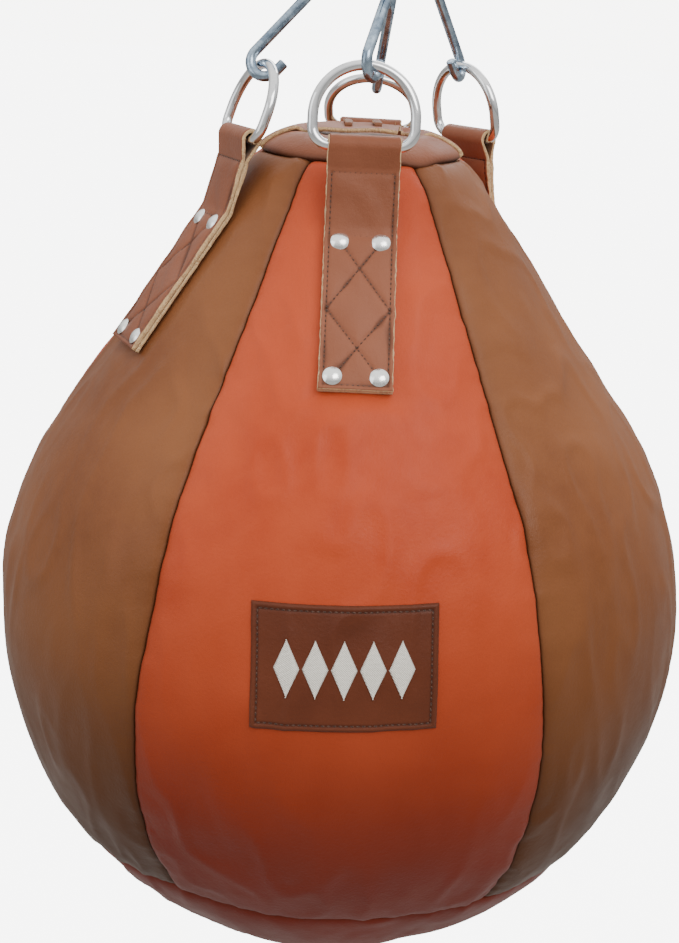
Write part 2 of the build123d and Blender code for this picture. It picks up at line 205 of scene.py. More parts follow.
def grid_faces(rows, columns, closed=False, start=0):
    width = columns if closed else columns - 1
    i, j = np.meshgrid(np.arange(rows - 1), np.arange(width), indexing="ij")
    k = (j + 1) % columns
    quads = np.stack([i * columns + j, i * columns + k, (i + 1) * columns + k, (i + 1) * columns + j], -1)
    return quads.reshape(-1, 4) + start


def round_faces(rows, columns, low=None, high=None):
    """Faces of a closed ring of rows, with a fan to a point below or above where one is named."""
    faces = [tuple(f) for f in grid_faces(rows, columns, closed=True)]
    last = (rows - 1) * columns
    if low is not None:
        faces += [(low, (j + 1) % columns, j) for j in range(columns)]
    if high is not None:
        faces += [(high, last + j, last + (j + 1) % columns) for j in range(columns)]
    return faces


def thicken(obj, thickness, rim=0, offset=-1.0):
    solid = obj.modifiers.new("thickness", "SOLIDIFY")
    solid.thickness = thickness * MM
    solid.offset = offset
    solid.material_offset_rim = rim
    return obj


def place(obj, slot, *replaced):
    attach(obj, "bag")
    if replaced:
        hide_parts(*replaced)
    return obj


# ---- materials -----------------------------------------------------------------------------------
class Shader:
    """A Principled material with helpers for its nodes."""

    def __init__(self, name, roughness=0.5, metallic=0.0, specular=0.5, sheen=0.0):
        self.material = bpy.data.materials.new(name)
        self.material.use_nodes = True
        self.tree = self.material.node_tree
        self.bsdf = self.tree.nodes["Principled BSDF"]
        self.bsdf.inputs["Roughness"].default_value = roughness
        self.bsdf.inputs["Metallic"].default_value = metallic
        self.bsdf.inputs["Specular IOR Level"].default_value = specular
        self.bsdf.inputs["Sheen Weight"].default_value = sheen
        self.bsdf.inputs["Sheen Roughness"].default_value = 0.45
        self.place = self.node("ShaderNodeTexCoord").outputs["Object"]
        self.height = None

    def node(self, kind, **inputs):
        made = self.tree.nodes.new(kind)
        for key, value in inputs.items():
            key = key.replace("_", " ")
            if isinstance(value, bpy.types.NodeSocket):
                self.tree.links.new(value, made.inputs[key])
            else:
                made.inputs[key].default_value = value
        return made

    def link(self, output, key):
        self.tree.links.new(output, self.bsdf.inputs[key])

    def stretched(self, scale):
        mapping = self.node("ShaderNodeMapping", Vector=self.place)
        mapping.inputs["Scale"].default_value = scale
        return mapping.outputs["Vector"]

    def noise(self, scale, detail=3.0, rough=0.55, vector=None, distortion=0.0):
        made = self.node("ShaderNodeTexNoise", Vector=vector or self.place, Scale=scale,
                         Detail=detail, Roughness=rough, Distortion=distortion)
        return made.outputs["Fac"]

    def cells(self, scale, feature="F1"):
        made = self.node("ShaderNodeTexVoronoi", Vector=self.place, Scale=scale)
        made.feature = feature
        return made.outputs["Distance"]

    def spread(self, value, low, high, to_low=0.0, to_high=1.0, curve="LINEAR"):
        made = self.node("ShaderNodeMapRange", Value=value)
        made.interpolation_type = curve
        for key, number in (("From Min", low), ("From Max", high), ("To Min", to_low), ("To Max", to_high)):
            made.inputs[key].default_value = number
        return made.outputs["Result"]

    def mix(self, factor, first, second):
        made = self.tree.nodes.new("ShaderNodeMix")
        made.data_type = "RGBA"
        for key, value in (("Factor_Float", factor), ("A_Color", first), ("B_Color", second)):
            socket = next(s for s in made.inputs if s.identifier == key)
            if isinstance(value, bpy.types.NodeSocket):
                self.tree.links.new(value, socket)
            else:
                socket.default_value = (*value, 1.0) if isinstance(value, tuple) else value
        return next(s for s in made.outputs if s.identifier == "Result_Color")

    def attribute(self, key):
        made = self.tree.nodes.new("ShaderNodeAttribute")
        made.attribute_name = key
        return made.outputs["Fac"]

    def bump(self, height, strength, distance):
        made = self.node("ShaderNodeBump", Height=height, Strength=strength, Distance=distance)
        if self.height is not None:
            self.tree.links.new(self.height, made.inputs["Normal"])
        self.height = made.outputs["Normal"]
        return self

    def done(self):
        if self.height is not None:
            self.link(self.height, "Normal")
        return self.material


def leather(name, light, dark, painted_shade_colour, grain=1.0, low=(-0.60, -0.30)):
    """Grained leather, patchy between light and dark, with painted shade: it turns to its painted shade
    colour down through the heights in low, and darkens by its painted shade attribute in seams, grooves and
    folds.
    """
    s = Shader(name, specular=0.2, sheen=0.03)
    patch = s.spread(s.noise(7.5, 3.0, 0.5), 0.36, 0.66)
    colour = s.mix(patch, dark, light)
    cloudy = s.spread(s.noise(46.0, 5.0, 0.6, distortion=0.4), 0.35, 0.7, 0.0, 0.34)
    colour = s.mix(cloudy, colour, light)
    # Painted shade: lower down the leather turns to a darker colour, fully below the first height in low
    # and not at all above the second.
    height = s.node("ShaderNodeSeparateXYZ", Vector=s.place).outputs["Z"]
    painted_shade_by_height = s.spread(height, low[0], low[1], 1.0, 0.0, "SMOOTHSTEP")
    colour = s.mix(painted_shade_by_height, colour, s.mix(patch, painted_shade_colour, tuple(c * 1.3 for c in painted_shade_colour)))
    pores = s.cells(1500.0)
    pits = s.spread(pores, 0.0, 0.5, 0.82, 1.0)
    colour = s.mix(0.55, colour, s.mix(pits, tuple(c * 0.6 for c in dark), colour))
    # Painted shade: darker where the mesh's painted shade attribute is high, in seams, grooves and folds.
    colour = s.mix(s.attribute("crease_shade"), colour, tuple(c * 0.28 for c in dark))
    s.link(colour, "Base Color")
    s.link(s.spread(s.noise(30.0, 4.0), 0.3, 0.7, 0.38, 0.54), "Roughness")
    s.bump(pores, 0.22 * grain, 0.00035)
    s.bump(s.cells(520.0, "SMOOTH_F1"), 0.18 * grain, 0.0006)
    s.bump(s.noise(230.0, 5.0, 0.6), 0.16 * grain, 0.0008)
    return s.done()


def raw_edge(name):
    s = Shader(name, roughness=0.85, specular=0.2, sheen=0.2)
    fibres = s.noise(900.0, 5.0, 0.7)
    colour = s.mix(s.spread(fibres, 0.35, 0.65), (0.36, 0.19, 0.085), (0.80, 0.58, 0.33))
    colour = s.mix(s.spread(s.noise(110.0, 3.0), 0.42, 0.62, 0.0, 0.75), colour, (0.71, 0.47, 0.24))
    s.link(colour, "Base Color")
    s.bump(fibres, 0.6, 0.0006)
    s.bump(s.noise(300.0, 3.0), 0.4, 0.001)
    return s.done()


def flesh_side(name):
    s = Shader(name, roughness=0.9, specular=0.15, sheen=0.3)
    nap = s.noise(650.0, 6.0, 0.7)
    s.link(s.mix(s.spread(nap, 0.3, 0.7), (0.19, 0.085, 0.04), (0.38, 0.21, 0.11)), "Base Color")
    s.bump(nap, 0.5, 0.0005)
    return s.done()


def thread(name, dark, light, pitch=1500.0, roughness=0.55):
    """Twisted thread, with more slanting bands across it for a larger pitch."""
    s = Shader(name, roughness=roughness, specular=0.35, sheen=0.25)
    made = s.node("ShaderNodeTexWave", Vector=s.place, Scale=pitch * 0.16, Distortion=1.5, Detail=2.0)
    made.bands_direction = "DIAGONAL"
    s.link(s.mix(s.spread(made.outputs["Fac"], 0.2, 0.8), dark, light), "Base Color")
    s.bump(made.outputs["Fac"], 0.45, 0.0003)
    return s.done()


def metal(name, bright, dull, roughness, mottle, scratch):
    """Metal mottled between bright and dull, with fine scratches along Z."""
    s = Shader(name, metallic=1.0, specular=0.5)
    cloud = s.spread(s.noise(mottle, 4.0, 0.6), 0.35, 0.68)
    s.link(s.mix(cloud, dull, bright), "Base Color")
    fine = s.noise(700.0, 3.0, 0.6, vector=s.stretched((1.0, 1.0, 0.12)))
    worn = s.node("ShaderNodeMath")
    worn.operation = "MULTIPLY"
    s.tree.links.new(s.spread(s.noise(mottle * 0.6, 4.0), 0.3, 0.7, 0.6, 1.4), worn.inputs[0])
    s.tree.links.new(s.spread(fine, 0.3, 0.7, roughness[0], roughness[1]), worn.inputs[1])
    s.link(worn.outputs["Value"], "Roughness")
    s.bump(fine, scratch, 0.0002)
    s.bump(s.noise(mottle * 1.5, 2.0), scratch * 0.7, 0.0006)
    return s.done()


def canvas(name):
    s = Shader(name, roughness=0.9, specular=0.2, sheen=0.2)
    warp = s.node("ShaderNodeTexWave", Vector=s.place, Scale=260.0, Distortion=0.6)
    weft = s.node("ShaderNodeTexWave", Vector=s.place, Scale=260.0, Distortion=0.6)
    warp.bands_direction, weft.bands_direction = "X", "Z"
    weave = s.mix(0.5, warp.outputs["Color"], weft.outputs["Color"])
    grey = s.node("ShaderNodeRGBToBW", Color=weave).outputs["Val"]
    s.link(s.mix(grey, (0.56, 0.51, 0.42), (0.83, 0.79, 0.69)), "Base Color")
    s.bump(grey, 0.5, 0.0004)
    return s.done()


def rags(name):
    s = Shader(name, roughness=0.95, specular=0.15)
    lump = s.cells(45.0, "SMOOTH_F1")
    colour = s.mix(s.spread(lump, 0.1, 0.7), (0.26, 0.26, 0.25), (0.6, 0.59, 0.56))
    lint = s.spread(s.noise(300.0, 4.0), 0.4, 0.7, 0.0, 0.5)
    s.link(s.mix(lint, colour, (0.45, 0.42, 0.38)), "Base Color")
    s.bump(lump, 0.7, 0.003)
    return s.done()


# The third colour of each leather is the painted shade that it turns to low down.
orange = leather("orange_leather", (0.56, 0.088, 0.028), (0.44, 0.052, 0.012), (0.12, 0.0085, 0.0006))
brown = leather("brown_leather", (0.262, 0.094, 0.033), (0.185, 0.059, 0.0185), (0.055, 0.0155, 0.002))
strap_brown = leather("strap_leather", (0.30, 0.104, 0.055), (0.21, 0.067, 0.032), (0.2, 0.062, 0.03),
                      grain=1.25)
label_brown = leather("label_leather", (0.135, 0.033, 0.013), (0.085, 0.020, 0.008),
                      (0.09, 0.021, 0.008), grain=1.3, low=(-0.9, -0.7))
lace_brown = leather("lace_leather", (0.23, 0.09, 0.045), (0.16, 0.06, 0.028), (0.16, 0.06, 0.028),
                     grain=0.8)
cream_edge = raw_edge("raw_leather_edge")
suede = flesh_side("flesh_side_leather")
brown_thread = thread("brown_thread", (0.035, 0.013, 0.007), (0.1, 0.042, 0.024))
white_thread = thread("white_thread", (0.62, 0.57, 0.49), (0.9, 0.87, 0.8), pitch=2600.0,
                      roughness=0.42)
chrome = metal("ring_chrome", (0.92, 0.92, 0.93), (0.72, 0.73, 0.75), (0.04, 0.1), 60.0, 0.04)
zinc = metal("hook_zinc", (0.50, 0.62, 0.74), (0.17, 0.23, 0.31), (0.14, 0.28), 140.0, 0.18)
nickel = metal("rivet_nickel", (0.99, 0.99, 0.98), (0.9, 0.9, 0.89), (0.16, 0.3), 260.0, 0.12)
steel = metal("washer_steel", (0.62, 0.62, 0.62), (0.4, 0.4, 0.4), (0.28, 0.45), 200.0, 0.2)
cloth = canvas("lining_canvas")
filler = rags("rag_filling")


# ---- the six gores -------------------------------------------------------------------------------
def seam_azimuth(index, along):
    """Azimuth of the seam after a gore. The front gore is a little wider low down."""
    low = smooth((FLANK_RUN - 60 - along) / (FLANK_RUN - 60 - CAP_RUN - 110))
    shift = {0: 1.8, 5: -1.8}.get(index, 0.0)
    return 30 + 60 * index + shift * low


def crowded(count, evenness):
    """Numbers from 0 to 1, closer together at both ends, with each end doubled for the tuck."""
    t = np.linspace(0, 1, count)
    t = evenness * t + (1 - evenness) * (0.5 - 0.5 * np.cos(pi * t))
    return np.concatenate([[0], t, [1]])


def gore(index, name):
    """One panel, crowned between its seams and tucked in along all four of them."""
    across, height = crowded(97, 0.3), crowded(231, 0.6)
    along = CAP_RUN + SEAM_GAP + (END_RUN - CAP_RUN - 2 * SEAM_GAP) * height
    left = seam_azimuth((index - 1) % 6, along) - (360 if index == 0 else 0)
    right = seam_azimuth(index, along)
    radius = np.interp(along, run, outline[:, 0])
    hair = np.degrees(0.3 / radius)
    azimuth = (left + hair)[:, None] + (right - left - 2 * hair)[:, None] * across[None, :]
    along2 = np.repeat(along[:, None], len(across), 1)
    arc_width = np.radians(right - left) * radius
    side = np.minimum(across[None, :], 1 - across[None, :]) * arc_width[:, None]
    nearer = np.where(across < 0.5, (index - 1) % 6, index)[None, :]
    end = np.maximum(np.minimum(along2 - CAP_RUN, END_RUN - along2), 0)
    level = np.zeros_like(side)
    seam_line = np.stack([along2, nearer * 61.0 + side * 0.35, level], -1)
    foot_line = np.stack([azimuth * 4.3, level, level], -1)

    tight = 1 - 0.9 * strap_cover(azimuth, along2)
    gathers = puckers(seam_line, side, SEAM_PUCKERS)
    gathers += puckers(foot_line, along2 - CAP_RUN, FOOT_PUCKERS)
    lift = relief(azimuth, along2) + gathers
    lift += tight * GORE_CROWN * (1 - fade(side, GORE_CROWN_REACH)) * (1 - fade(end, END_CROWN_REACH))
    lift -= dips(side, SEAM_DIPS)
    lift -= dips(end, END_DIPS)
    lift[[0, -1], :] -= TUCK
    lift[1:-1, [0, -1]] -= TUCK
    # Painted shade: darker along the seams and ends where the leather tucks in, with a faint wider band
    # beside each seam.
    crease_shade = np.clip(fade(side, 0.9) + fade(end, 0.9), 0, 1) * 0.85
    crease_shade = np.maximum(crease_shade, 0.16 * fade(side, 8))

    is_orange = name in ORANGE_GORES
    points = skin(azimuth, along2, lift)
    obj = mesh_object("gore_" + name + "_leather", points.reshape(-1, 3), grid_faces(*side.shape),
                      [orange if is_orange else brown], values={"crease_shade": crease_shade})
    thicken(obj, LEATHER_THICK)
    place(obj, "leather_orange" if is_orange else "leather_brown", "gore_" + name)


for index, name in enumerate(GORES):
    gore(index, name)


# ---- bottom cap ----------------------------------------------------------------------------------
def bottom_cap():
    around = np.linspace(0, 360, 288, endpoint=False)
    along = np.concatenate([np.linspace(2.0, CAP_RUN - 20, 60),
                            np.linspace(CAP_RUN - 18, CAP_RUN - SEAM_GAP, 22), [CAP_RUN - SEAM_GAP]])
    azimuth, along2 = np.meshgrid(around, along)
    end = CAP_RUN - along2
    angle = np.radians(azimuth)
    line = np.stack([np.cos(angle) * 120, np.sin(angle) * 120, end * 0.3], -1)
    lift = relief(azimuth, along2) * smooth(along2 / 25)
    lift += puckers(line, end, CAP_PUCKERS) + CAP_CROWN * (1 - fade(end, CAP_CROWN_REACH))
    lift -= dips(end, CAP_DIPS)
    lift[-1, :] -= TUCK
    # Painted shade along the seam, where the cap tucks in.
    crease_shade = np.clip(fade(end, 1.5), 0, 1) * 0.85
    points = skin(azimuth, along2, lift).reshape(-1, 3)
    tip = skin(np.array([0.0]), np.array([0.0]), np.array([lift[0].mean()]))
    cap = mesh_object("bottom_cap_leather", np.vstack([points, tip]),
                      round_faces(*azimuth.shape, low=len(points)), [orange],
                      values={"crease_shade": np.append(crease_shade.ravel(), 0)})
    thicken(cap, LEATHER_THICK)
    place(cap, "leather_orange", "bottom_cap")


bottom_cap()


# ---- lining and filling, hidden inside -----------------------------------------------------------
def core(name, depth, material, slot, node, lump, thickness=None):
    """A closed lumpy bag, its surface at a depth under the leather."""
    azimuth, along = np.meshgrid(np.linspace(0, 360, 96, endpoint=False),
                                 np.linspace(2.0, END_RUN - 4, 80))
    plain = skin(azimuth, along, np.full(azimuth.shape, -depth))
    lumpy = skin(azimuth, along, -depth + lump * wave(plain, 40, 1.7))
    verts = lumpy.reshape(-1, 3)
    low, high = np.mean(lumpy[0], 0), np.mean(lumpy[-1], 0)
    faces = round_faces(*azimuth.shape, low=len(verts), high=len(verts) + 1)
    obj = mesh_object(name, np.vstack([verts, low, high]), faces, [material])
    if thickness:
        thicken(obj, thickness)
    return place(obj, slot, node)


core("canvas_lining", 11.0, cloth, "lining_canvas", "lining", 0.4, thickness=1.0)
core("rag_core", 13.5, filler, "rag_filling", "filling", 0.9)


# ---- crown ---------------------------------------------------------------------------------------
CROWN_PLY, CROWN_SPAN, CROWN_RISE = 2.6, 26.0, 12.6
CROWN_TUCK = 0.16                       # share of the span that is tucked under at the foot
FOOT_OUT, FOOT_UP = 0.72, 0.69          # direction that the crown's foot faces
MOUTH_RADIUS, MOUTH_Z = 50.0, -115.2
FLAP_Z = -107.9


def crown_piece(name, first, last, raised, seed, edge, dip, rim):
    """A sector of the crown: tucked in at its foot, domed, with raw cut edges."""
    columns = int(abs(last - first) * 1.3)
    azimuth, t = np.meshgrid(np.linspace(first, last, columns), np.linspace(-CROWN_TUCK, 1, 44))
    angle = np.radians(azimuth)
    ring = np.stack([np.cos(angle) * 60, np.sin(angle) * 60, t * CROWN_SPAN], -1)
    rise = np.clip(t, 0, 1)
    foot_drop = -2.6 * np.exp(-((azimuth - 34) / 9) ** 2) - 0.8 * wave(ring, 38, seed)
    r = crown_foot[0] + 0.4 - (crown_foot[0] - edge) * rise
    z = crown_foot[1] + CROWN_RISE * (1 - (1 - rise) ** 2.0) - dip * smooth((rise - 0.72) / 0.28)
    r = r + 1.7 * wave(ring, 30, seed + 9) * rise ** 2
    z = z + (0.9 * wave(ring, 26, seed + 2) + 0.35 * wave(ring, 9, seed + 4)) * rise
    tuck = np.clip(-t, 0, 1) / CROWN_TUCK
    lift = raised + 0.5 - 2.2 * fade(rise * CROWN_SPAN, 1.8) - 7.5 * tuck
    near_foot = fade(rise * 3, 1)
    r = r + FOOT_OUT * lift * (1 - rise) + foot_drop * -0.55 * near_foot
    z = z + (FOOT_UP * (1 - rise) + rise) * lift + foot_drop * 0.75 * near_foot
    out, _ = directions(azimuth)
    points = out * r[..., None] + UP * z[..., None]
    # Painted shade along the foot, where the piece tucks in.
    crease_shade = np.clip(fade(np.abs(rise) * CROWN_SPAN, 1.6), 0, 1) * 0.8
    obj = mesh_object(name, points.reshape(-1, 3), grid_faces(*t.shape), [strap_brown, cream_edge],
                      values={"crease_shade": crease_shade})
    thicken(obj, CROWN_PLY, rim=rim)
    return place(obj, "leather_brown", "crown_collar")


crown_piece("crown_front", -112, 116, 0.0, 1.0, 42.0, 1.0, 0)
crown_piece("crown_back", 84, 280, 2.8, 21.0, 38.0, 4.0, 1)


def mouth_cover():
    """The dished disc that closes the mouth under the flap."""
    rows, columns = 26, 96
    t, azimuth = np.meshgrid(np.linspace(0.02, 1, rows), np.linspace(0, 360, columns, endpoint=False),
                             indexing="ij")
    out, _ = directions(azimuth)
    ring = out * (MOUTH_RADIUS * t)[..., None]
    z = MOUTH_Z + 0.8 * wave(ring, 22, 3.0) - 1.6 * (1 - t ** 2)
    points = (ring + UP * z[..., None]).reshape(-1, 3)
    faces = [f[::-1] for f in round_faces(rows, columns, low=len(points))]
    cover = mesh_object("mouth_cover", np.vstack([points, [[0, 0, MOUTH_Z - 1.6]]]), faces,
                        [strap_brown], values={"crease_shade": np.zeros(len(points) + 1)})
    thicken(cover, 2.4)
    place(cover, "leather_brown", "mouth_disc")


def flap_height(x, y):
    p = np.stack([x, y, np.zeros_like(x)], -1)
    far = np.clip(np.hypot(x - FLAP_SHIFT, y) / 40, 0, 1)
    return FLAP_Z + 0.8 * wave(p, 24, 6.0) - 1.3 * far ** 2


def closing_flap():
    """A soft rectangle with rounded corners and wavering cut edges."""
    x, y = np.meshgrid(np.linspace(-1, 1, 57), np.linspace(-1, 1, 47))
    corner = np.clip(np.abs(x) - 0.86, 0, 1) * np.clip(np.abs(y) - 0.84, 0, 1) * 12
    fx = FLAP_SHIFT + x * FLAP[0] / 2 * (1 - corner * 0.35) + 0.5 * np.sin(y * 5)
    fy = y * FLAP[1] / 2 * (1 - corner * 0.4) + 0.6 * np.sin(x * 4 + 1)
    points = np.stack([fx, fy, flap_height(fx, fy)], -1)
    flap = mesh_object("closing_flap_leather", points.reshape(-1, 3), grid_faces(*x.shape),
                       [strap_brown, cream_edge], values={"crease_shade": np.zeros(x.shape)})
    thicken(flap, 2.8, rim=1)
    place(flap, "leather_brown", "closing_flap")


def closing_lace():
    """Two short runs of thong over the flap, each going down into it at both ends."""
    rows, columns, middle = 41, 9, 1 / 1.3
    verts, faces = [], []
    for x0 in (-LACE_PITCH / 2, LACE_PITCH / 2):
        s = np.linspace(-1, 1, rows)
        y = np.clip(s * 1.3, -1, 1) * LACE_SPAN / 2
        drop = np.clip((np.abs(s) - middle) / (1 - middle), 0, 1)
        z = flap_height(np.full(rows, float(x0)), y) + 1.1 + 0.5 * (1 - s ** 2) - 5.0 * drop ** 1.5
        y = y * (1 - 0.06 * drop)
        sway = 0.5 * np.sin(s * 3 + x0)
        faces.append(grid_faces(rows, columns, start=len(verts)))
        for k in range(rows):
            for w in np.linspace(-1, 1, columns):
                verts.append((x0 + sway[k] + w * LACE_WIDTH / 2, y[k], z[k] - 0.35 * w * w))
    lace = mesh_object("closing_lace_thong", verts, np.vstack(faces), [lace_brown, cream_edge],
                       values={"crease_shade": np.zeros(len(verts))})
    thicken(lace, 1.5, rim=1, offset=1.0)
    place(lace, "leather_lace", "closing_lace")


mouth_cover()
closing_flap()
closing_lace()


# ---- sewn stitches: short rounded threads that lie in their grooves ------------------------------
class Stitching:
    """Stitches gathered into one mesh."""

    RINGS, SIDES = (-1.0, -0.75, 0.0, 0.75, 1.0), 8
    WIDTH, HEIGHT, LENGTH = 0.52, 0.4, 2.3

    def __init__(self):
        self.verts, self.faces = [], []

    def add(self, centre, axis, normal):
        """One stitch along axis, its ends sunk a little into the leather."""
        side = np.cross(normal, axis)
        start = len(self.verts)
        for t in self.RINGS:
            fat = sqrt(max(0.0, 1 - abs(t) ** 3)) * 0.85 + 0.15
            for a in np.linspace(0, 2 * pi, self.SIDES, endpoint=False):
                self.verts.append(centre + axis * (t * self.LENGTH / 2) + side * (cos(a) * self.WIDTH * fat)
                                  + normal * (sin(a) * self.HEIGHT * fat - 0.22 * t * t))
        end = len(self.verts)
        tube = grid_faces(len(self.RINGS), self.SIDES, closed=True, start=start)
        self.faces += [tuple(f) for f in tube]
        self.faces += [tuple(range(start + self.SIDES - 1, start - 1, -1)),
                       tuple(range(end - self.SIDES, end))]

    def build(self, name, material):
        return mesh_object(name, self.verts, self.faces, [material])


# ---- straps --------------------------------------------------------------------------------------
def fillet_line(points, radii):
    """A polyline with rounded corners, as closely spaced points."""
    spacing = 1.6
    points = [np.array(p) for p in points]
    made = [points[0]]
    for before, corner, after, radius in zip(points, points[1:], points[2:], radii):
        a, b = before - corner, after - corner
        a, b = a / np.linalg.norm(a), b / np.linalg.norm(b)
        half = acos(max(-1, min(1, float(a @ b)))) / 2
        reach = radius / np.tan(half)
        centre = corner + (a + b) / np.linalg.norm(a + b) * radius / sin(half)
        p, q = corner + a * reach - centre, corner + b * reach - centre
        turn = acos(max(-1, min(1, float(p @ q) / radius ** 2)))
        for t in np.linspace(0, 1, 9):
            v = (p * sin((1 - t) * turn) + q * sin(t * turn)) / sin(turn)
            made.append(centre + v)
    made.append(points[-1])
    dense = [made[0]]
    for p, q in zip(made, made[1:]):
        n = max(1, int(np.linalg.norm(q - p) / spacing))
        dense += [p + (q - p) * k / n for k in range(1, n + 1)]
    return dense


def strap_path(name):
    """The strap's middle line, up its outer leg, round the ring's bar and down its inner leg."""
    lean = STRAP_LEAN[name]
    bar = polar(strap_corner, STRAP_RISE[name], 90 + lean)
    half = (FLANK_SLOPE - lean) / 2
    neck_angle = degrees(asin(LOOP_CORE / NECK_DROP))
    reach = FIT_GAP / 2 + STRAP_PLY / 2
    legs = []
    for side in (1, -1):
        start = polar(strap_foot, STRAP_MIDDLE + side * reach, FLANK_SLOPE)
        bend = polar(strap_corner, side * reach / cos(radians(half)), lean + half)
        neck = polar(polar(bar, -NECK_DROP, 90 + lean),
                     side * reach / cos(radians(neck_angle / 2)), lean - side * neck_angle / 2)
        touch = polar(bar, LOOP_CORE + reach, lean + 90 - side * (90 + neck_angle))
        legs.append(fillet_line([start, bend, neck, touch],
                                [STRAP_BEND_RADIUS - side * reach, NECK_RADIUS - reach]))
    around = np.linspace(lean - neck_angle, lean + 180 + neck_angle, 34)
    loop = [polar(bar, LOOP_CORE + reach, a) for a in around]
    path = np.array(legs[0] + [np.array(p) for p in loop[1:-1]] + legs[1][::-1])
    keep = np.concatenate([[True], np.hypot(*np.diff(path, axis=0).T) > 1e-3])
    path = path[keep]
    gone = np.concatenate([[0], np.cumsum(np.hypot(*np.diff(path, axis=0).T))])
    heading = np.gradient(path, gone, axis=0)
    heading /= np.linalg.norm(heading, axis=1)[:, None]
    return path, gone, heading


EDGE_ROW, NECK_ROW, END_ROW, TOP_ROW = 20.0, 202.0, 60.4, 161.5
DIAGONALS = [((13.0, 157.5), (-20.0, 111.0)), ((-13.0, 157.5), (20.0, 111.0)),
             ((-20.0, 111.0), (14.5, 66.0)), ((20.0, 111.0), (-14.5, 66.0))]
ROWS = [((-EDGE_ROW, END_ROW), (-EDGE_ROW, NECK_ROW)), ((EDGE_ROW, END_ROW), (EDGE_ROW, NECK_ROW)),
        ((-EDGE_ROW, NECK_ROW), (EDGE_ROW, NECK_ROW)), ((-EDGE_ROW, END_ROW), (EDGE_ROW, END_ROW)),
        ((-9.0, TOP_ROW), (9.0, TOP_ROW))]


def line_distance(w, s, line):
    (w0, s0), (w1, s1) = line
    dw, ds = w1 - w0, s1 - s0
    t = np.clip(((w - w0) * dw + (s - s0) * ds) / (dw * dw + ds * ds), 0, 1)
    return np.hypot(w - w0 - t * dw, s - s0 - t * ds)


def strap_relief(w, s, seed):
    """Grooves of the sewn rows, the quilting between them and soft creases."""
    lift = np.zeros_like(w)
    quilt = np.full(w.shape, 30.0)
    for line in ROWS:
        d = line_distance(w, s, line)
        lift -= 0.42 * np.exp(-(d / 0.8) ** 2)
        quilt = np.minimum(quilt, d)
    for line in DIAGONALS:
        d = line_distance(w, s, line)
        lift -= 0.6 * np.exp(-(d / 1.1) ** 2)
        quilt = np.minimum(quilt, d)
    lift += 1.1 * (1 - np.exp(-quilt / 5.0)) * smooth((NECK_ROW + 2 - s) / 3)
    for spacing, height in (LOWER_RIVETS, UPPER_RIVETS):
        for side in (-1, 1):
            d = np.hypot(w - side * spacing / 2, s - height)
            lift -= 0.75 * np.exp(-(d / 6.5) ** 2)
    slant = np.stack([(w * 0.8 + s * 0.6), (s * 0.8 - w * 0.6) * 0.35, np.full(w.shape, seed)], -1)
    lift += 0.7 * wave(slant, 13) * smooth((NECK_ROW - s) / 8)
    return lift


FACE, EDGE = 61, 3                      # points across each face of a strap, and round each cut edge
LAST, BACK = FACE - 1, FACE + EDGE      # the outer face's last point, and the inner face's first
RING = 2 * (FACE + EDGE)
EDGE_BULGE = (0.35, 0.5, 0.35)
RIVET_CLEAR, STITCH_PITCH = 7.4, 3.3


def end_faces(start, flip):
    """Faces that close one end of a strap."""
    ids = list(range(start, start + RING))
    faces = [(ids[i], ids[i + 1], ids[BACK + LAST - i - 1], ids[BACK + LAST - i]) for i in range(LAST)]
    faces += [tuple(ids[LAST:BACK + 1]), tuple(ids[BACK + LAST:] + ids[:1])]
    return [f[::-1] for f in faces] if flip else faces


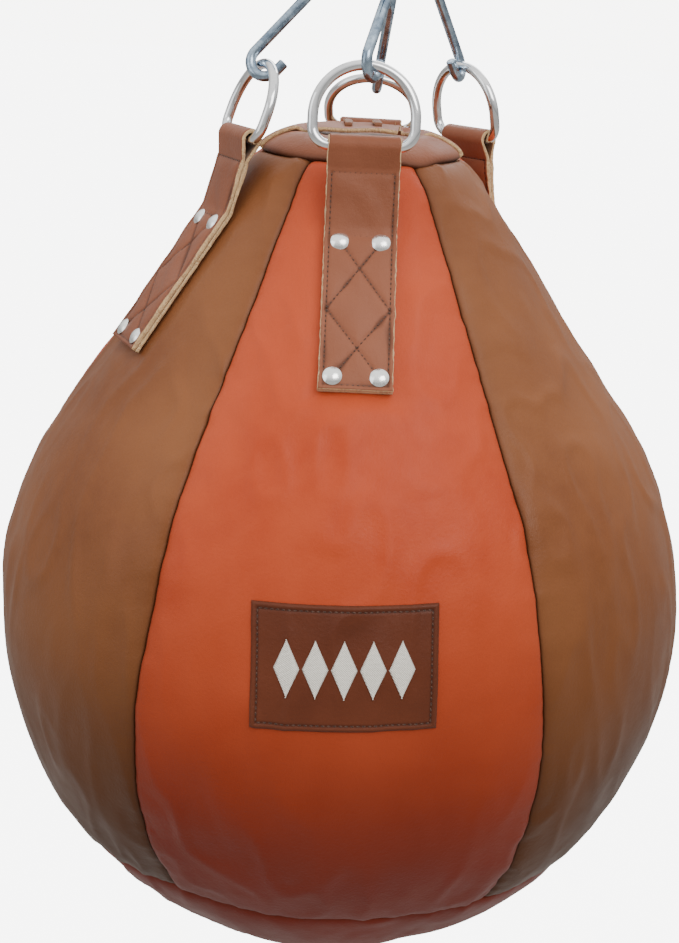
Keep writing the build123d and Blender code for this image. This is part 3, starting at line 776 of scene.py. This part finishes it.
class Strap:
    """One folded strap with its stitching and the patch behind it."""

    def __init__(self, name, azimuth, seed):
        self.name, self.azimuth, self.seed = name, azimuth, seed
        self.path, self.gone, self.heading = strap_path(name)
        self.out, self.across = directions(np.array(float(azimuth)))
        self.total = self.gone[-1]

    def leather(self):
        path, gone, heading, seed = self.path, self.gone, self.heading, self.seed
        stations = len(gone)
        face, none = np.linspace(-1, 1, FACE), np.zeros(FACE)
        ring_w = np.concatenate([face, np.ones(EDGE), face[::-1], -np.ones(EDGE)])
        ring_t = np.concatenate([np.ones(FACE), [0.5, 0.0, -0.5], -np.ones(FACE), [-0.5, 0.0, 0.5]])
        bulge = np.concatenate([none, EDGE_BULGE, none, EDGE_BULGE])
        is_face = ring_t == 1
        soften = np.where(is_face, 0.45 * smooth((np.abs(ring_w) - 0.955) / 0.045), 0)

        outer, inner = STRAP_START + gone, STRAP_START + self.total - gone
        is_outer = outer < inner
        w_mm = np.repeat((ring_w * STRAP_WIDTH / 2)[None, :], stations, 0)
        s_mm = np.repeat(np.where(is_outer, outer, inner)[:, None], RING, 1)
        shape = strap_relief(w_mm, s_mm, seed)
        free = smooth((s_mm - STRAP_BEND) / 10)
        shape = np.where(is_outer[:, None], shape, shape * free)

        ragged = np.stack([np.repeat(gone[:, None], RING, 1), np.sign(w_mm) * 40 + ring_t[None, :] * 3,
                           np.full(w_mm.shape, seed)], -1)
        rough = 0.45 * wave(ragged, 6.0) + 0.25 * wave(ragged, 2.2, 5.0)
        edge = np.where(np.abs(ring_w) == 1, 1.0, 0.0)[None, :]
        width = w_mm + np.sign(w_mm) * (bulge[None, :] + edge * rough - 0.35 * edge)
        high = ring_t[None, :] * STRAP_PLY / 2 + np.where(is_face[None, :], shape - soften[None, :], 0)
        normal = np.stack([heading[:, 1], -heading[:, 0]], -1)
        flat = path[:, None, :] + normal[:, None, :] * high[..., None]
        verts = self.out * flat[..., :1] + UP * flat[..., 1:] + self.across * width[..., None]

        j = np.tile(np.arange(RING), stations - 1)
        is_edge = (j >= LAST) & (j < BACK) | (j >= BACK + LAST)
        index = np.where(is_edge, 1, np.where((j >= BACK) & (j < BACK + LAST), 2, 0))
        caps = end_faces(0, True) + end_faces((stations - 1) * RING, False)
        faces = [tuple(f) for f in grid_faces(stations, RING, closed=True)] + caps
        index = np.concatenate([index, np.ones(len(caps), int)])
        # Painted shade: the strap's face is darker where it sinks, in the sewn grooves, round the rivets
        # and in its soft folds.
        dark = np.clip(-shape, 0, 0.75) * is_face[None, :]
        obj = mesh_object(f"strap_{self.name}_leather", verts.reshape(-1, 3), faces,
                          [strap_brown, cream_edge, suede], index, {"crease_shade": dark})
        place(obj, "leather_strap", f"strap_{self.name}")

    def sew(self, sewn, line, on_outer=True):
        """A row of stitches between two points of the strap, leaving out the rivets."""
        (w0, s0), (w1, s1) = line
        length = sqrt((w1 - w0) ** 2 + (s1 - s0) ** 2)
        count = int(length / STITCH_PITCH)
        for k in range(count):
            f = (k + 0.5) / count
            w, s = w0 + (w1 - w0) * f, s0 + (s1 - s0) * f
            if any(sqrt((abs(w) - gap / 2) ** 2 + (s - level) ** 2) < RIVET_CLEAR
                   for gap, level in (LOWER_RIVETS, UPPER_RIVETS)):
                continue
            at_run = s - STRAP_START if on_outer else self.total - (s - STRAP_START)
            p = np.array([np.interp(at_run, self.gone, self.path[:, i]) for i in (0, 1)])
            h = np.array([np.interp(at_run, self.gone, self.heading[:, i]) for i in (0, 1)])
            h /= np.linalg.norm(h)
            normal = self.out * h[1] - UP * h[0]
            upward = (self.out * h[0] + UP * h[1]) * (1 if on_outer else -1)
            groove = float(strap_relief(np.array([w]), np.array([s]), self.seed)[0])
            lift = STRAP_PLY / 2 + groove + 0.1
            axis = self.across * (w1 - w0) / length + upward * (s1 - s0) / length
            sewn.add(self.out * p[0] + UP * p[1] + self.across * w + normal * lift, axis, normal)

    def stitching(self):
        sewn = Stitching()
        for line in ROWS + DIAGONALS:
            self.sew(sewn, line)
        for w in (-EDGE_ROW, EDGE_ROW):
            self.sew(sewn, ((w, STRAP_BEND + 12), (w, NECK_ROW)), on_outer=False)
        self.sew(sewn, ((-EDGE_ROW, NECK_ROW), (EDGE_ROW, NECK_ROW)), on_outer=False)
        place(sewn.build(f"strap_{self.name}_stitching", brown_thread), "leather_strap")

    def backing(self):
        """The patch inside the bag that the rivets are clenched on."""
        w, s = np.meshgrid(np.linspace(-25, 25, 31), np.linspace(54, 169.5, 61))
        at_run = FLANK_RUN + s
        radius = np.interp(at_run, run, outline[:, 0])
        uneven = 0.15 * wave(np.stack([w, s, s * 0], -1), 14, self.seed)
        points = skin(self.azimuth + np.degrees(w / radius), at_run, -4.4 + uneven)
        patch = mesh_object(f"strap_backing_{self.name}_leather", points.reshape(-1, 3),
                            grid_faces(*w.shape), [suede, cream_edge])
        thicken(patch, 2.3, rim=1)
        place(patch, "leather_raw", f"strap_backing_{self.name}")


for number, (name, azimuth) in enumerate(STRAPS.items()):
    strap = Strap(name, azimuth, 3.0 + 17.0 * number)
    strap.leather()
    strap.stitching()
    strap.backing()


# ---- label patch ---------------------------------------------------------------------------------
LABEL_ROW, LABEL_PLY = 4.0, 2.2         # the stitched row's distance from the edge; thickness shown
LABEL_GROWTH, LABEL_TILT = 2.2, radians(1.7)
LABEL_PITCH, LABEL_SEAT = 3.4, 1.4
low_run, high_run = run_at(LABEL_ARC[0]) - LABEL_GROWTH, run_at(LABEL_ARC[1]) + LABEL_GROWTH
label_height = high_run - low_run
LOZENGES, LOZENGE_WIDTH, LOZENGE_HEIGHT, LOZENGE_GAP, THREAD = 5, 15.5, 35.0, 1.6, 0.75


def label_point(x, v, lift):
    """Points on the label: x from its middle, v up from its lower edge."""
    high = v - label_height / 2
    x, v = (x * cos(LABEL_TILT) - high * sin(LABEL_TILT),
            x * sin(LABEL_TILT) + high * cos(LABEL_TILT))
    along = low_run + label_height / 2 + v
    radius = np.interp(along, run, outline[:, 0])
    azimuth = np.degrees(np.arcsin(x / radius))
    return skin(azimuth, along, relief(azimuth, along) + LABEL_SEAT + lift)


def label_edge(x, v):
    """Distance in from the label's nearest edge."""
    return np.minimum(LABEL_WIDTH / 2 - np.abs(x), np.minimum(v, label_height - v))


def label_lift(x, v):
    """Height of the label's face: a rolled edge, a ridge and the groove of the stitched row."""
    edge = label_edge(x, v)
    lift = LABEL_THICK * (0.45 + 0.55 * smooth(edge / 1.6))
    groove = 0.5 * np.exp(-((edge - LABEL_ROW) / 0.9) ** 2)
    lift = lift - groove + 0.3 * np.exp(-((edge - 2.0) / 1.3) ** 2)
    return lift + 0.25 * wave(np.stack([x, v, x * 0], -1), 16, 8.0)


def label_patch():
    x, v = np.meshgrid(np.linspace(-LABEL_WIDTH / 2, LABEL_WIDTH / 2, 169),
                       np.linspace(0, label_height, 109))
    # Painted shade in the groove of the stitched row.
    crease_shade = 0.7 * np.exp(-((label_edge(x, v) - LABEL_ROW) / 0.7) ** 2)
    label = mesh_object("label_leather", label_point(x, v, label_lift(x, v)).reshape(-1, 3),
                        grid_faces(*x.shape), [label_brown, cream_edge], values={"crease_shade": crease_shade})
    thicken(label, LABEL_PLY, rim=0)
    place(label, "leather_brown", "label_patch")


def label_stitching():
    """One row of stitches all round, inside the label's edge."""
    sewn = Stitching()
    half, top = LABEL_WIDTH / 2 - LABEL_ROW, label_height - LABEL_ROW
    corners = [(-half, LABEL_ROW), (half, LABEL_ROW), (half, top), (-half, top)]
    for (x0, v0), (x1, v1) in zip(corners, corners[1:] + corners[:1]):
        count = int(sqrt((x1 - x0) ** 2 + (v1 - v0) ** 2) / LABEL_PITCH)
        for k in range(count):
            f = (k + 0.5) / count
            x, v = x0 + (x1 - x0) * f, v0 + (v1 - v0) * f
            # The stitch's own point, and one a little along the row and one across it.
            near = np.array([[0, 0], [x1 - x0, v1 - v0], [v0 - v1, x1 - x0]], float)
            near[1:] *= 0.5 / np.linalg.norm(near[1:], axis=1)[:, None]
            lift = float(label_lift(np.array([x]), np.array([v]))[0]) + 0.12
            p = label_point(x + near[:, 0], v + near[:, 1], lift)
            axis = (p[1] - p[0]) / np.linalg.norm(p[1] - p[0])
            normal = np.cross(p[1] - p[0], p[2] - p[0])
            sewn.add(p[0], axis, normal / np.linalg.norm(normal))
    place(sewn.build("label_stitching", brown_thread), "leather_brown")


def label_embroidery():
    """A row of lozenges in raised satin stitch, with its ridges of thread."""
    verts, faces = [], []
    for k in range(LOZENGES):
        middle = (k - (LOZENGES - 1) / 2) * (LOZENGE_WIDTH + LOZENGE_GAP)
        a, b = np.meshgrid(np.linspace(-1, 1, 15), np.linspace(-1, 1, 281))
        half_width = (1 - np.abs(b)) * LOZENGE_WIDTH / 2
        half_width = half_width * (1 + 0.03 * np.sin(b * 320 + k))
        x, v = middle + a * half_width, label_height / 2 + b * LOZENGE_HEIGHT / 2
        ridge = np.abs(np.cos(b * LOZENGE_HEIGHT / 2 / THREAD * pi))
        crown = 0.75 * np.sqrt(np.clip(1 - a ** 2, 0, 1))
        lift = label_lift(x, v) + 0.25 + crown + 0.22 * ridge - 0.25 * (np.abs(a) > 0.99)
        faces.append(grid_faces(*a.shape, start=len(verts)))
        verts += label_point(x, v, lift).reshape(-1, 3).tolist()
    motif = mesh_object("label_embroidery", verts, np.vstack(faces), [white_thread])
    thicken(motif, 0.4)
    place(motif, "leather_brown")


label_patch()
label_stitching()
label_embroidery()

# ---- metal parts keep their CAD shape ------------------------------------------------------------
FINISHES = (("d_ring", chrome), ("s_hook", zinc), ("rivets_", nickel), ("rivet_washers", steel))
for name, node in nodes.items():
    finish = next((material for start, material in FINISHES if name.startswith(start)), None)
    if finish:
        node.data.materials.clear()
        node.data.materials.append(finish)

# ---- floor, light and camera ---------------------------------------------------------------------
FLOOR_Z, FLOOR_HALF = -1500.0, 40000.0
FLOOR_GREYS = (0.38, 0.375, 0.36), (0.42, 0.415, 0.40)
WHITE_FLOOR, WHITE_SKY = 6.5, 7.0       # strengths that only the camera sees
SKY_COLOUR = (1.0, 0.99, 0.97, 1.0)
SKY_LIGHT = (("From Min", -0.1), ("From Max", 0.75), ("To Min", 0.22), ("To Max", 1.5))


def studio_floor():
    """A plain floor, white to the camera and a soft grey to the light."""
    shader = Shader("pale_floor", roughness=0.9, specular=0.1)
    shader.link(shader.mix(shader.noise(3.0, 3.0), *FLOOR_GREYS), "Base Color")
    seen = shader.node("ShaderNodeLightPath").outputs["Is Camera Ray"]
    shader.link(shader.mix(seen, (0.0, 0.0, 0.0), (1.0, 1.0, 1.0)), "Emission Color")
    shader.bsdf.inputs["Emission Strength"].default_value = WHITE_FLOOR
    h = FLOOR_HALF
    corners = [(x, y, FLOOR_Z) for x, y in ((-h, -h), (h, -h), (h, h), (-h, h))]
    mesh_object("floor", corners, [(0, 1, 2, 3)], [shader.done()])


def studio_sky():
    """Surroundings that are brighter overhead, and white to the camera."""
    world = bpy.data.worlds.new("studio")
    bpy.context.scene.world = world
    world.use_nodes = True
    tree = world.node_tree
    background = tree.nodes["Background"]
    background.inputs["Color"].default_value = SKY_COLOUR
    seen = tree.nodes.new("ShaderNodeLightPath").outputs["Is Camera Ray"]
    direction = tree.nodes.new("ShaderNodeTexCoord").outputs["Generated"]
    height = tree.nodes.new("ShaderNodeSeparateXYZ")
    by_height = tree.nodes.new("ShaderNodeMapRange")
    for key, value in SKY_LIGHT:
        by_height.inputs[key].default_value = value
    strength = tree.nodes.new("ShaderNodeMapRange")
    strength.inputs["To Max"].default_value = WHITE_SKY
    for output, socket in ((direction, height.inputs["Vector"]),
                           (height.outputs["Z"], by_height.inputs["Value"]),
                           (by_height.outputs["Result"], strength.inputs["To Min"]),
                           (seen, strength.inputs["Value"]),
                           (strength.outputs["Result"], background.inputs["Strength"])):
        tree.links.new(output, socket)


def softbox(name, position, target, size, power, colour=(1, 1, 1)):
    data = bpy.data.lights.new(name, "AREA")
    data.shape, data.size, data.size_y = "RECTANGLE", *size
    data.energy, data.color = power, colour
    lamp = bpy.data.objects.new(name, data)
    bpy.context.scene.collection.objects.link(lamp)
    lamp.location = position
    lamp.rotation_euler = (Vector(target) - Vector(position)).to_track_quat("-Z", "Y").to_euler()


IMAGE_HEIGHT, SENSOR = 943.0, 36.0      # the sensor spans the image's height
FOCAL, SIDE_SHIFT = 1465.0, -8.8        # in the image's own units
EYE = (0.0024, -1.040, -0.0255)
TURN, PITCH, ROLL = radians(-1.39), radians(17.87), radians(2.91)


def studio_camera():
    camera = bpy.data.cameras.new("camera")
    camera.sensor_width = SENSOR
    camera.lens = FOCAL / IMAGE_HEIGHT * SENSOR
    camera.shift_x = SIDE_SHIFT / IMAGE_HEIGHT
    view = bpy.data.objects.new("camera", camera)
    bpy.context.scene.collection.objects.link(view)
    view.matrix_world = (Matrix.Rotation(TURN, 4, "Z") @ Matrix.Translation(EYE)
                         @ Matrix.Rotation(pi / 2 - PITCH, 4, "X") @ Matrix.Rotation(ROLL, 4, "Z"))
    bpy.context.scene.camera = view


studio_floor()
studio_sky()
softbox("key", (0.9, -1.6, 1.3), (0, 0, -0.35), (1.6, 1.2), 29, (1.0, 0.98, 0.95))
softbox("fill", (-1.9, -1.0, 0.4), (0, 0, -0.4), (1.4, 1.6), 9, (0.95, 0.98, 1.0))
softbox("rim", (0.4, 1.9, 1.2), (0, 0, -0.3), (1.8, 1.0), 22)
studio_camera()
bpy.context.view_layer.update()
